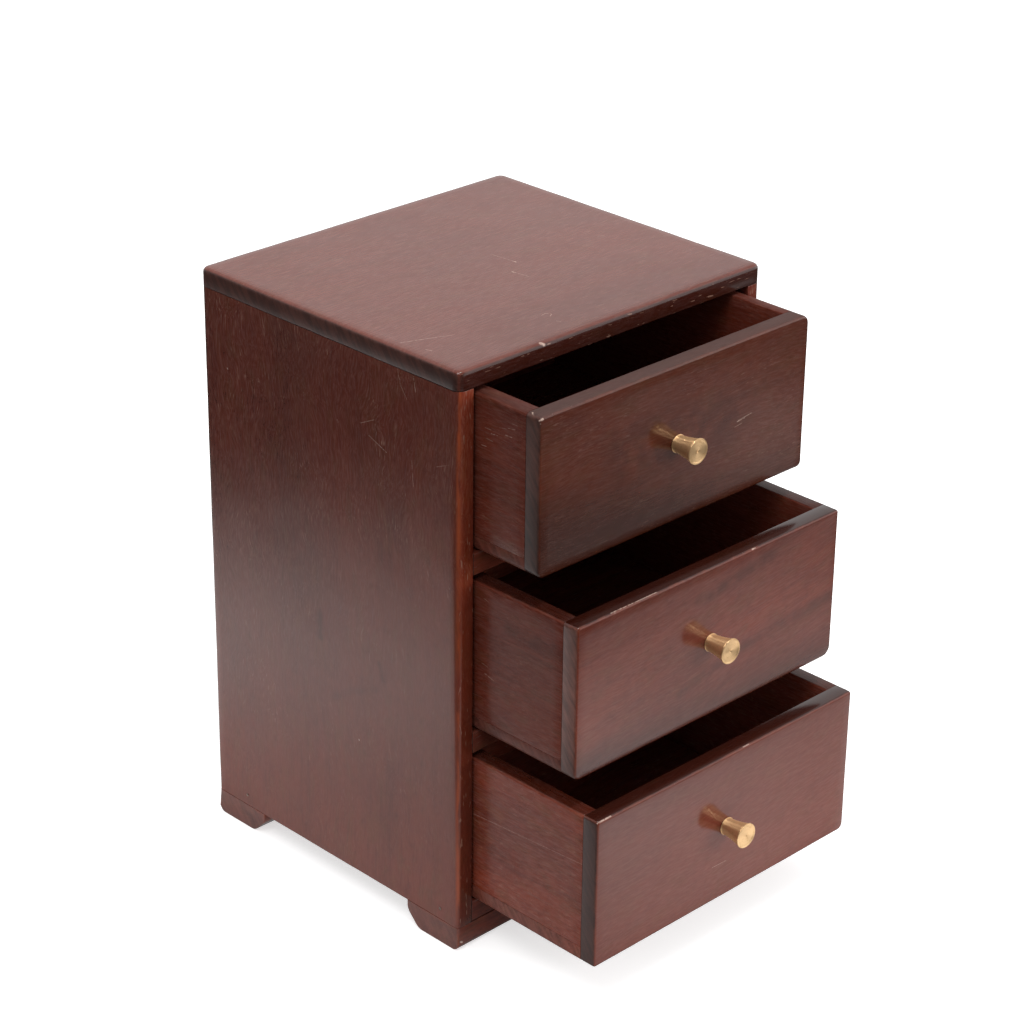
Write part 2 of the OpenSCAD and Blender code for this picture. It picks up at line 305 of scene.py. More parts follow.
def vector(tree, operation, a, b=(0, 0, 0)):
    return add(tree, "VectorMath", {0: a, 1: b}, operation=operation)[0]


def scaled(tree, value, gain):
    return add(tree, "VectorMath", {0: value, "Scale": gain}, operation="SCALE")[0]


def dot(tree, a, b):
    return add(tree, "VectorMath", {0: a, 1: b}, operation="DOT_PRODUCT")["Value"]


def distance(tree, a, b):
    return add(tree, "VectorMath", {0: a, 1: b}, operation="DISTANCE")["Value"]


def split(tree, value):
    """The three parts of a place, direction or size."""
    return add(tree, "SeparateXYZ", {0: value})


def ramp(tree, value, low, high):
    """0 at low, 1 at high, smooth between."""
    return add(
        tree, "MapRange", {"Value": value, "From Min": low, "From Max": high},
        interpolation_type="SMOOTHSTEP",
    )[0]


def blend(tree, amount, first, second, mode="MIX"):
    node = tree.nodes.new("ShaderNodeMix")
    node.data_type = "RGBA"
    node.blend_type = mode
    feed(tree, node.inputs[0], amount)
    for index, value in ((6, first), (7, second)):
        feed(tree, node.inputs[index], value if isinstance(value, bpy.types.NodeSocket) else (*value, 1))
    return node.outputs[2]


def noise(tree, place, scale, detail):
    inputs = {"Vector": place, "Scale": scale, "Detail": detail, "Roughness": 0.6}
    return add(tree, "TexNoise", inputs)[0]


def drift(tree, place, scale, detail, reach):
    """How far smooth noise moves a place aside."""
    swirls = add(tree, "TexNoise", {"Vector": place, "Scale": scale, "Detail": detail})["Color"]
    return vector(tree, "MULTIPLY", vector(tree, "SUBTRACT", swirls, (0.5, 0.5, 0.5)), [reach] * 3)


def streaks(tree, place, axis, along, across, detail, shift):
    """Noise drawn out along the grain; along and across are features per metre."""
    scale = [across] * 3
    scale[axis] = along
    aside = (shift, shift * 1.7, shift * 0.6)
    stretched = add(tree, "Mapping", {"Vector": place, "Location": aside, "Scale": scale})[0]
    return noise(tree, stretched, 1.0, detail)


# ---- wood ----

# Colours of the stained wood, from its darkest streak to its rubbed and chipped edges; the chipped colour
# also paints a few glints
DEEP = (0.036, 0.0085, 0.0055)
COOL = (0.074, 0.0185, 0.0125)
BODY = (0.104, 0.0235, 0.0145)
WARM = (0.142, 0.0255, 0.0115)
OLIVE = (0.090, 0.0300, 0.0125)
PLUM = (0.094, 0.0200, 0.0165)
OLIVE_BROWN = (0.088, 0.0255, 0.0120)
HAZE = (0.112, 0.0480, 0.0390)
PALE = (0.300, 0.170, 0.125)
RUBBED = (0.230, 0.044, 0.014)
CHIP_AND_GLINT = (0.550, 0.400, 0.330)
END_DARK = (0.022, 0.0085, 0.0060)
END_PALE = (0.078, 0.0290, 0.0210)
BLACK = (0.0, 0.0, 0.0)
# What a full measure of the fine flecks, dust and painted sheen, adds to the colour
DUST_AND_SHEEN_TINT = (1.0, 0.70, 0.64)
# Slant of the saw marks on end grain
SAW_TILT = 35.0
# Width of the worn rim along a board's edges
RIM_WIDTH = 2.2 * MM
# How far the grain wanders aside where it wanders fully
WANDER = 14 * MM

# The relief of the wood: strength and depth
WOOD_RELIEF = (0.22, 0.2 * MM)
# The dust on a board that isn't shaded, and the most that the fine flecks of dust and painted sheen may
# darken the colour
DUSTING = 0.6
DARKEST_FLECK = -0.09

# What follows the grain: features per metre along and across it, detail, and shift of the noise
STREAKS = {
    "blotch": (9.0, 24.0, 4.0, 0.0),
    "warmth": (12.0, 30.0, 4.0, 2.3),
    "bands": (4.5, 80.0, 3.0, 3.1),
    "fibre": (32.0, 800.0, 3.0, 5.3),
    "pore": (160.0, 1300.0, 1.0, 9.7),
    "mottle": (60.0, 130.0, 5.0, 19.4),
}
FLECK_PATTERN = (150.0, 1300.0, 3.0, 25.0)
DASHES = (160.0, 900.0, 1.0, 21.0)
UNEVEN_RUB = (40.0, 300.0, 3.0, 27.0)
SAW_MARKS = (90.0, 520.0, 3.0, 1.3)
# What doesn't: features per metre and detail
CLOUDS = {"haze": (11.0, 4.0), "patch": (34.0, 3.0), "cloud": (110.0, 4.0), "speck": (1300.0, 1.0)}
DAPPLE = (190.0, 3.0)
UNEVEN_SMUDGE = (90.0, 3.0)
CRUMBLED = (330.0, 3.0)
BROKEN = (700.0, 2.0)

# The look of a board that says nothing else
PLAIN_LOOK = {
    "tone": 1.0,  # brightness
    "red": 0.6,  # strength of the warm streaks
    "figure": 0.4,  # strength of the dark bands
    "fine": 1.0,  # strength of the fibres
    "wave": 0.7,  # how much the grain wanders
    "tilt": 0.0,  # slant of the grain in degrees
    "calm": 0.0,  # how much one plain stain evens the streaks out
    "stain": BODY,  # that stain
    "pores": 0.4,  # strength of the dark pores
    "pale": 0.5,  # strength of the pores that hold pale dust
    "pore_run": 260.0,  # how many of these follow each other in a metre
    "swirl": 0.0,  # how far they curl aside in millimetres
    "grit": 0.034,  # strength of the fine flecks, dust and painted sheen
    "dust_rise": 0.0,  # how much more dust and painted sheen flecks show where the board is shaded
    "end_tone": 1.0,  # brightness of the end grain
    "end_mix": 0.8,  # how far the end grain covers the stain
    "saw": 0.08,  # softness of its saw marks
    "front_tint": None,  # tint of the face that looks forwards
    "front_rise": None,  # painted light and shade on it: its brightness at the bottom and at the top
    "rim_tone": 1.0,  # painted shade: brightness of faces that look upwards
    "rim_haze": 0.0,  # how much rougher these are
    "shades": (),  # stretches that get darker, on the fronts painted shade: from, to and by how much
    "smudges": (),  # dark stains: start, end and width
    "rubs": (),  # rubbed lines: start, end and width
    "marks": (),  # scratches, chips and a few painted glints: start, end and width
    "wear": 0.6,  # strength of the rubbed edges
    "satin": 0.07,  # least roughness of the lacquer
    "lacquer": 0.5,  # strength of its reflections
}


def edge_mask(tree, place, low, high, width):
    """1 on the edges of the block from low to high, fading out over width."""
    offset = vector(tree, "ABSOLUTE", vector(tree, "SUBTRACT", place, tuple((low + high) / 2)))
    depth = split(tree, vector(tree, "SUBTRACT", tuple((high - low) / 2), offset))
    near = [ramp(tree, depth[axis], width, 0.0) for axis in range(3)]
    return most(tree, *[maths(tree, "MULTIPLY", near[i], near[(i + 1) % 3]) for i in range(3)])


def scratch_group():
    """How near a point is to a straight scratch, from 0 to 1."""
    group = bpy.data.node_groups.new("scratch", "ShaderNodeTree")
    for name in ("Place", "Start", "Run"):
        group.interface.new_socket(name=name, in_out="INPUT", socket_type="NodeSocketVector")
    group.interface.new_socket(name="Width", in_out="INPUT", socket_type="NodeSocketFloat")
    group.interface.new_socket(name="Mask", in_out="OUTPUT", socket_type="NodeSocketFloat")
    given = group.nodes.new("NodeGroupInput").outputs
    from_start = vector(group, "SUBTRACT", given["Place"], given["Start"])
    ahead = dot(group, from_start, given["Run"])
    square = dot(group, given["Run"], given["Run"])
    share = add(group, "Clamp", {0: maths(group, "DIVIDE", ahead, square)})[0]
    apart = distance(group, from_start, scaled(group, given["Run"], share))
    mask = ramp(group, apart, given["Width"], 0.0)
    result = group.nodes.new("NodeGroupOutput")
    group.links.new(mask, result.inputs["Mask"])
    return group


SCRATCH = scratch_group()
# A finer mark is fainter: strength per millimetre of width, and the most it can be
SCRATCH_STRENGTH = 1.3
SCRATCH_MOST = 0.85


def laid_on(side, low, high, marks):
    """Marks that are drawn on a flat face of a board, with the place of that face put in."""
    axis, at = side_of(side, low, high)
    placed = []
    for start, end, width in marks:
        ends = [point[:axis] + (at / MM,) + point[axis:] for point in (start, end)]
        placed.append((*ends, width))
    return tuple(placed)


def scratches(tree, place, marks):
    """The mask of all the marks; each is its start, its end and its width, in millimetres."""
    masks = []
    for start, end, width in marks:
        first = Vector(start) * MM
        line = {"Place": place, "Start": first, "Run": Vector(end) * MM - first, "Width": width * MM}
        mask = add(tree, "Group", line, node_tree=SCRATCH)["Mask"]
        masks.append(times(tree, mask, min(SCRATCH_MOST, SCRATCH_STRENGTH * width)))
    return most(tree, *masks)


def gradient(tree, place, start, end):
    """0 at one point, 1 at another, smooth along the line between them; both in millimetres."""
    run = (Vector(end) - Vector(start)) * MM
    from_start = vector(tree, "SUBTRACT", place, Vector(start) * MM)
    return ramp(tree, dot(tree, from_start, run / run.length_squared), 0.0, 1.0)


def along_grain(tree, board, place, pattern, axis=None):
    """A noise that follows the board's grain, or another axis."""
    along, across, detail, shift = pattern
    axis = board.axis if axis is None else axis
    return streaks(tree, place, axis, along, across, detail, board.seed + shift)


def grain_layers(tree, board, look):
    """The noises that the streaks, the pores, the dust and the wear follow."""
    wavy = vector(tree, "ADD", board.place, drift(tree, board.place, 13.0, 1.5, look.wave * WANDER))
    if look.tilt:
        thin = min(range(3), key=lambda side: board.high[side] - board.low[side])
        turn = [0.0, 0.0, 0.0]
        turn[thin] = math.radians(look.tilt)
        wavy = add(tree, "Mapping", {"Vector": wavy, "Rotation": turn})[0]
    curly = vector(tree, "ADD", wavy, drift(tree, board.place, 30.0, 2.0, look.swirl * MM))
    layers = {name: along_grain(tree, board, wavy, pattern) for name, pattern in STREAKS.items()}
    layers |= {name: noise(tree, board.place, *pattern) for name, pattern in CLOUDS.items()}
    layers["dapple"] = noise(tree, wavy, *DAPPLE)
    layers["hair"] = along_grain(tree, board, curly, (look.pore_run, 1350.0, 1.0, 15.2))
    layers["dust"] = along_grain(tree, board, curly, FLECK_PATTERN)
    layers["dark_pore"] = times(tree, ramp(tree, layers["pore"], 0.58, 0.70), look.pores)
    return SimpleNamespace(**layers)


def streaked_stain(tree, layer, look):
    """The stain, tint upon tint."""
    # Each tint: its layer, where in it the tint starts and is full, its strength and its colour
    tints = (
        (layer.warmth, 0.40, 0.66, look.red, WARM),
        (layer.mottle, 0.50, 0.66, 0.55, OLIVE),
        (layer.mottle, 0.48, 0.34, 0.50, PLUM),
        (layer.haze, 0.42, 0.64, 0.22, HAZE),
        (layer.bands, 0.50, 0.34, look.figure, DEEP),
        (layer.dapple, 0.50, 0.68, 0.16, WARM),
        (layer.dapple, 0.46, 0.30, 0.22, DEEP),
        (layer.fibre, 0.38, 0.68, 0.16 * look.fine, WARM),
        (layer.fibre, 0.50, 0.26, 0.26 * look.fine, DEEP),
    )
    colour = blend(tree, ramp(tree, layer.blotch, 0.32, 0.66), COOL, BODY)
    for source, start, full, strength, tint in tints:
        colour = blend(tree, times(tree, ramp(tree, source, start, full), strength), colour, tint)
    colour = blend(tree, layer.dark_pore, colour, DEEP)
    return blend(tree, look.calm, colour, look.stain)


def with_dust_and_sheen(tree, colour, layer, shade, look):
    """Adds the pale dust in the pores, and fine flecks of dust and painted sheen, which show more where the
    board is shaded.
    """
    dusting = total(tree, times(tree, shade, look.dust_rise), DUSTING)
    pale_pore = times(
        tree, ramp(tree, layer.hair, 0.60, 0.76), ramp(tree, layer.patch, 0.38, 0.66), look.pale * 0.6
    )
    colour = blend(tree, times(tree, pale_pore, dusting), colour, PALE)
    # Fine flecks, partly dust and partly painted sheen
    dust_and_sheen_flecks = most(tree, maths(tree, "SUBTRACT", layer.dust, 0.5), DARKEST_FLECK)
    return vector(tree, "ADD", colour, scaled(tree, DUST_AND_SHEEN_TINT, times(tree, dust_and_sheen_flecks, dusting, 1.6 * look.grit)))


def end_grain(tree, board, layer, look):
    """Saw marks across the ends of the board."""
    sawn = [math.radians(SAW_TILT) if side == board.axis else 0.0 for side in range(3)]
    cut_face = add(tree, "Mapping", {"Vector": board.place, "Rotation": sawn})[0]
    rays = along_grain(tree, board, cut_face, SAW_MARKS, 0 if board.axis == 2 else 2)
    colour = blend(tree, ramp(tree, rays, 0.5 - look.saw, 0.5 + look.saw), END_DARK, END_PALE)
    colour = blend(tree, times(tree, ramp(tree, layer.speck, 0.52, 0.70), 0.2), colour, END_DARK)
    return blend(tree, 1.0, colour, [look.end_tone] * 3, "MULTIPLY")


def front_stain(tree, colour, board, look):
    """Tints the face that looks forwards, paints light and shade on it by height, and draws pale dashes along
    its grain.
    """
    front = ramp(tree, split(tree, board.facing)[1], -0.6, -0.9)
    tinted = blend(tree, 1.0, colour, look.front_tint, "MULTIPLY")
    # Painted light at the top and painted shade at the bottom, which even out the light that falls on this
    # face
    if look.front_rise:
        bottom, top = look.front_rise
        up = ramp(tree, split(tree, board.place)[2], board.low.z, board.high.z)
        tinted = scaled(tree, tinted, total(tree, times(tree, up, top - bottom), bottom))
    colour = blend(tree, front, colour, tinted)
    dashes = along_grain(tree, board, board.place, DASHES)
    return blend(tree, times(tree, front, ramp(tree, dashes, 0.66, 0.74), 0.5), colour, PALE)


def worn(tree, colour, board, layer, look):
    """Rubs and chips the edges; gives the colour and the mask of all that is chipped or scratched."""
    rim = edge_mask(tree, board.place, *board.shell, RIM_WIDTH)
    rubbed = times(tree, ramp(tree, rim, 0.25, 0.8), ramp(tree, layer.cloud, 0.42, 0.62), look.wear)
    colour = blend(tree, rubbed, colour, RUBBED)
    if look.rubs:
        uneven = along_grain(tree, board, board.place, UNEVEN_RUB)
        bare = times(tree, scratches(tree, board.place, look.rubs), ramp(tree, uneven, 0.30, 0.60), 1.2)
        colour = blend(tree, bare, colour, RUBBED)
    crumbs = times(
        tree, ramp(tree, rim, 0.55, 0.9), ramp(tree, noise(tree, board.place, *CRUMBLED), 0.66, 0.72),
        ramp(tree, layer.patch, 0.45, 0.60),
    )
    colour = blend(tree, times(tree, crumbs, 0.7), colour, CHIP_AND_GLINT)
    if not look.marks:
        return colour, crumbs
    broken = ramp(tree, noise(tree, board.place, *BROKEN), 0.30, 0.55)
    marked = times(tree, scratches(tree, board.place, look.marks), broken)
    return blend(tree, marked, colour, CHIP_AND_GLINT), most(tree, crumbs, marked)


def wood(name, low, high, grain, seed, shell=None, **changes):
    """Dark stained and lacquered wood whose grain runs along one axis of the board."""
    look = SimpleNamespace(**{**PLAIN_LOOK, **changes})
    material, tree, shader = new_material(name)
    coordinates = add(tree, "TexCoord", {})
    board = SimpleNamespace(
        low=low, high=high, shell=shell or (low, high), axis="xyz".index(grain), seed=seed,
        place=coordinates["Object"], facing=coordinates["Normal"],
    )
    layer = grain_layers(tree, board, look)
    shades = [
        times(tree, gradient(tree, board.place, start, end), depth) for start, end, depth in look.shades
    ]
    shade = most(tree, 0.0, *shades)
    end_on = ramp(tree, split(tree, vector(tree, "ABSOLUTE", board.facing))[board.axis], 0.60, 0.90)
    upward = ramp(tree, split(tree, board.facing)[2], 0.6, 0.95)

    colour = with_dust_and_sheen(tree, streaked_stain(tree, layer, look), layer, shade, look)
    colour = blend(tree, times(tree, end_on, look.end_mix), colour, end_grain(tree, board, layer, look))
    if look.front_tint:
        colour = front_stain(tree, colour, board, look)
    if look.smudges:
        uneven = ramp(tree, noise(tree, board.place, *UNEVEN_SMUDGE), 0.25, 0.6)
        smudged = times(tree, scratches(tree, board.place, look.smudges), uneven, 0.6)
        colour = blend(tree, smudged, colour, DEEP)
    # Darkens the shaded stretches; on the fronts this is painted shade
    colour = blend(tree, shade, colour, BLACK)
    # Painted shade on the faces that look upwards
    rim_shade_gain = total(tree, times(tree, upward, look.rim_tone - 1.0), 1.0)
    colour = scaled(tree, colour, times(tree, rim_shade_gain, look.tone))
    colour, scarred = worn(tree, colour, board, layer, look)
    roughness = total(
        tree, look.satin, times(tree, layer.dark_pore, 0.3), times(tree, end_on, 0.22),
        times(tree, layer.patch, 0.10), times(tree, layer.cloud, 0.06), times(tree, scarred, 0.3),
        times(tree, upward, look.rim_haze),
    )
    height = total(
        tree, times(tree, layer.fibre, 0.30 * look.fine), times(tree, layer.dark_pore, -0.9),
        times(tree, layer.bands, 0.25), times(tree, scarred, -1.0), times(tree, end_on, layer.speck, 0.12),
    )
    coat(tree, shader, colour, roughness, height, WOOD_RELIEF)
    shader.inputs["IOR"].default_value = 1.5
    shader.inputs["Specular IOR Level"].default_value = look.lacquer
    return material


# ---- brass, steel and beech ----

BRASS = (0.96, 0.63, 0.33)
BRASS_DULL = (0.70, 0.41, 0.18)
# The tool rings: how many of them to a metre outwards, and how much closer they lie along the knob's axis
RINGS = 3600.0
RING_SLANT = 1.3
# Steel of the pins and of the screws: its bright and its stained colour, and its least roughness
PIN_STEEL = ((0.30, 0.24, 0.21), (0.12, 0.07, 0.05), 0.35)
SCREW_STEEL = ((0.62, 0.60, 0.57), (0.36, 0.34, 0.32), 0.22)
BEECH = (0.60, 0.42, 0.26)
BEECH_FIBRE = (0.36, 0.21, 0.11)
# The relief of these finishes: strength and depth
BRASS_RELIEF = (0.35, 0.08 * MM)
STEEL_RELIEF = (0.3, 0.05 * MM)
BEECH_RELIEF = (0.3, 0.1 * MM)


def brass(name, centre):
    """Turned brass with fine tool rings around the knob's axis, a little tarnished."""
    material, tree, shader = new_material(name)
    place = add(tree, "TexCoord", {})["Object"]
    offset = vector(tree, "SUBTRACT", place, tuple(centre))
    parts = split(tree, offset)
    flat = add(tree, "CombineXYZ", {0: parts[0], 2: parts[2]})[0]
    radius = add(tree, "VectorMath", {0: flat}, operation="LENGTH")["Value"]
    travel = times(tree, total(tree, radius, times(tree, parts[1], RING_SLANT)), RINGS)
    rings = add(tree, "TexNoise", {"W": travel, "Scale": 1.0, "Detail": 2.0}, noise_dimensions="1D")[0]
    tarnish = noise(tree, place, 420.0, 4.0)
    fingers = noise(tree, place, 150.0, 2.0)
    dull = times(tree, ramp(tree, tarnish, 0.50, 0.72), 0.55)
    colour = blend(tree, dull, BRASS, BRASS_DULL)
    colour = blend(tree, times(tree, ramp(tree, rings, 0.48, 0.32), 0.35), colour, BRASS_DULL)
    shader.inputs["Metallic"].default_value = 0.86
    shader.inputs["Anisotropic"].default_value = 0.88
    shader.inputs["Anisotropic Rotation"].default_value = 0.25
    around = add(tree, "Tangent", {}, direction_type="RADIAL", axis="Y")[0]
    tree.links.new(around, shader.inputs["Tangent"])
    roughness = total(
        tree, 0.23, times(tree, rings, 0.14), times(tree, dull, 0.2), times(tree, fingers, 0.10)
    )
    coat(tree, shader, colour, roughness, rings, BRASS_RELIEF)
    return material


def steel(name, bright, dark, rough):
    """Dull steel with stained patches, for the pins and the screws."""
    material, tree, shader = new_material(name)
    place = add(tree, "TexCoord", {})["Object"]
    stain = noise(tree, place, 900.0, 3.0)
    grit = noise(tree, place, 2600.0, 2.0)
    colour = blend(tree, ramp(tree, stain, 0.40, 0.62), bright, dark)
    shader.inputs["Metallic"].default_value = 0.85
    coat(tree, shader, colour, total(tree, rough, times(tree, stain, 0.2)), grit, STEEL_RELIEF)
    return material


def dowel_wood():
    """Plain unstained hardwood, for the hidden dowels."""
    material, tree, shader = new_material("dowel_beech")
    place = add(tree, "TexCoord", {})["Object"]
    fibre = streaks(tree, place, 2, 60.0, 1400.0, 2.0, 4.0)
    colour = blend(tree, fibre, BEECH_FIBRE, BEECH)
    coat(tree, shader, colour, total(tree, 0.5, times(tree, fibre, 0.2)), fibre, BEECH_RELIEF)
    return material


def dress(node, material):
    """Gives a CAD node that stays in view its finish."""
    for slot in frame["nodes"][node].material_slots:
        slot.material = material


def dress_fasteners():
    pin_steel = steel("dulled_pin_steel", *PIN_STEEL)
    screw_steel = steel("screw_steel", *SCREW_STEEL)
    beech = dowel_wood()
    for node in frame["nodes"]:
        if node.endswith("pins") or "_pins_" in node:
            dress(node, pin_steel)
        elif node.endswith("screw"):
            dress(node, screw_steel)
        elif node.endswith("dowels"):
            dress(node, beech)


# ---- case ----

CASE_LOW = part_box("side_panel_left")[0]
CASE_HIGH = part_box("top_panel")[1]
# The block along whose edges the case is worn; it ends below the floor, so no board is worn down there
SHELL_FOOT = -20 * MM
CASE_SHELL = (Vector((CASE_LOW.x, CASE_LOW.y, SHELL_FOOT)), CASE_HIGH)

# Scratches on the top's face and knocks along its arris: start, end and width in millimetres
TOP_SCRATCHES = (
    ((13.0, 53.5), (14.5, 38.0), 0.30),
    ((4.0, 29.5), (5.5, 20.0), 0.35),
    ((14.4, 39.5), (14.6, 37.5), 0.60),
    ((4.0, 29.5), (4.4, 28.0), 0.55),
    ((-94.5, 0.0), (-70.0, -9.5), 0.35),
    ((-91.5, -13.5), (-90.5, -16.5), 0.40),
    ((-25.0, -19.5), (-22.0, -19.0), 0.35),
    ((-22.0, -19.0), (-20.5, -21.5), 0.35),
    ((-20.5, -21.5), (-23.0, -23.0), 0.35),
    ((-25.0, -29.0), (-24.0, -31.0), 0.30),
    ((69.0, 36.0), (72.0, 34.0), 0.35),
)
TOP_KNOCKS = (
    ((-48.5, -42.6, 301.3), (-47.0, -43.6, 300.3), 1.30),
    ((-87.5, -43.5, 301.2), (-86.5, -43.8, 300.4), 0.60),
    ((-99.2, -43.2, 300.6), (-98.0, -43.6, 298.6), 0.70),
    ((-100.0, 98.5, 300.8), (-99.4, 101.0, 301.2), 0.50),
)
# The top gets darker towards its front edge: from, to and by how much
TOP_SHADE = ((0.0, 20.0, 301.5), (0.0, -44.0, 301.5), 0.14)

# Scratches on the left side panel's face
SIDE_SCRATCHES = (
    ((-14.4, 291.0), (-15.8, 284.0), 0.35),
    ((-3.8, 291.5), (-6.0, 284.0), 0.25),
    ((-6.0, 284.0), (-10.0, 278.5), 0.25),
    ((21.4, 257.0), (12.2, 261.5), 0.30),
    ((16.0, 252.5), (4.0, 248.0), 0.30),
    ((-13.0, 249.5), (-14.0, 236.0), 0.25),
    ((-29.5, 252.0), (-37.5, 255.5), 0.25),
    ((37.8, 253.0), (37.4, 252.4), 0.50),
    ((117.5, 254.6), (117.0, 254.0), 0.50),
    ((26.0, 88.5), (25.8, 88.0), 0.50),
)
# Both side panels get darker towards the upper back: from, to and by how much
SIDE_SHADE = ((0.0, -20.0, 120.0), (0.0, 90.0, 260.0), 0.30)
# The lacquer is rubbed through along the left panel's front arris, and a few soft stains lie behind it;
# the faint ones have their middle outside the panel
SIDE_RUBS = (((-99.4, -43.3, 15.0), (-98.6, -42.6, 291.0), 2.0),)
SIDE_SMUDGES = (
    ((-100.0, 53.0, 148.0), (-100.0, 53.2, 134.0), 3.5),
    ((-102.5, 48.5, 101.5), (-102.5, 30.5, 113.5), 4.5),
    ((-102.5, 30.5, 113.5), (-102.5, 11.0, 123.0), 4.5),
    ((-100.0, 10.7, 136.0), (-100.0, 8.0, 128.0), 2.5),
)
# The front edges of the side panels get painted shade at the bottom and painted light at the top
SIDE_LOOKS = {
    "left": {
        "seed": 2.2, "front_tint": (1.30, 1.0, 0.75), "front_rise": (0.70, 1.45), "rubs": SIDE_RUBS,
        "smudges": SIDE_SMUDGES, "marks": laid_on("-x", CASE_LOW, CASE_HIGH, SIDE_SCRATCHES),
    },
    "right": {"seed": 7.9, "front_tint": (1.1, 1.1, 1.15), "front_rise": (0.70, 1.2)},
}
SHELF_SEEDS = {"upper_divider": 12.1, "lower_divider": 13.7, "bottom_board": 14.9}
RUNNER_KNOCK = ((-98.0, -43.7, 5.0), (-97.0, -43.7, 4.4), 0.8)
# An edge of a runner's chamfer is longer than this and turns by about 45 degrees
CHAMFER_LENGTH = 10 * MM
CHAMFER_TURN = (40, 50)


def top_panel():
    low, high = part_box("top_panel")
    piece = block("top_board", low, high)
    round_edges(piece, low, high, ("-x-y", "+x-y", "-x+y", "+x+y"), UPRIGHT_TOP, CORNER_STEPS)
    round_rims(piece, low, high, ("+z",), TOP_ARRIS, ARRIS_STEPS)
    break_sharp(piece)
    hand_sand(piece, low, high)
    material = wood(
        "lacquered_top", low, high, "x", 0.3, shell=CASE_SHELL, tone=1.20, red=0.30, figure=0.12, wave=0.5,
        pale=0.3, fine=0.25, pores=0.10, calm=0.50, grit=0.100, end_tone=0.42, wear=0.08,
        front_tint=(0.36, 0.40, 0.44), shades=(TOP_SHADE,),
        marks=laid_on("+z", low, high, TOP_SCRATCHES) + TOP_KNOCKS,
    )
    finish(piece, "top_panel", "case", material)


def side_panel(side, outer):
    node = "side_panel_" + side
    low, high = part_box(node)
    upright = (outer + "-y", outer + "+y")
    piece = block("side_board_" + side, low, high)
    round_edges(piece, low, high, upright, UPRIGHT_FOOT, CORNER_STEPS)
    widen_rounding(piece, low, high, upright, UPRIGHT_FOOT, UPRIGHT_TOP)
    round_rims(piece, low, high, ("-z",), TRAY_JOINT, SEAM_STEPS)
    break_sharp(piece)
    hand_sand(piece, low, high)
    material = wood(
        "lacquered_" + node, low, high, "z", shell=CASE_SHELL, tone=1.06, red=0.35, figure=0.12, wave=0.8,
        pale=0.42, pores=0.08, calm=0.3, grit=0.040, pore_run=110.0, swirl=17.0, dust_rise=5.0, wear=0.3,
        shades=(SIDE_SHADE,), **SIDE_LOOKS[side],
    )
    finish(piece, node, "case", material)


def shelf(node, seed):
    low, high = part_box(node)
    piece = block(node + "_board", low, high)
    round_edges(piece, low, high, ("-y+z", "-y-z"), ARRIS, ARRIS_STEPS)
    break_sharp(piece)
    hand_sand(piece, low, high, THIN_SANDING)
    material = wood("lacquered_" + node, low, high, "x", seed, shell=CASE_SHELL, wear=0.4)
    finish(piece, node, "case", material)


def back_panel():
    low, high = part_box("back_panel")
    piece = block("back_board", low, high)
    break_sharp(piece)
    hand_sand(piece, low, high)
    material = wood("lacquered_back", low, high, "z", 11.4, wear=0.0)
    finish(piece, "back_panel", "case", material)


def runner(where, outer, inner, seed, marks=()):
    node = "foot_runner_" + where
    low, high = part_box(node)
    least, largest = (math.radians(degrees) for degrees in CHAMFER_TURN)
    piece = block("runner_" + where, low, high)
    round_edges(piece, low, high, (inner + "-z",), RUNNER_CHAMFER, 1)
    mesh = edit(piece)
    for edge in mesh.edges:
        along_x = abs(edge.verts[0].co.x - edge.verts[1].co.x) > CHAMFER_LENGTH
        edge.select = along_x and least < edge.calc_face_angle(0) < largest
    bevel(mesh, RUNNER_BLEND, ARRIS_STEPS)
    round_edges(piece, low, high, (outer + "-z",), RUNNER_ROUND, CORNER_STEPS)
    round_edges(piece, low, high, ("-x" + outer, "+x" + outer), UPRIGHT_FOOT, ARRIS_STEPS)
    round_rims(piece, low, high, ("+z",), TRAY_JOINT, SEAM_STEPS)
    break_sharp(piece, JOINT, SOFT_STEPS)
    hand_sand(piece, low, high, THIN_SANDING)
    material = wood(
        "lacquered_" + node, low, high, "x", seed, tone=1.27, wear=0.2, end_mix=0.35, lacquer=0.7, marks=marks
    )
    finish(piece, node, "case", material)


# ---- drawers ----

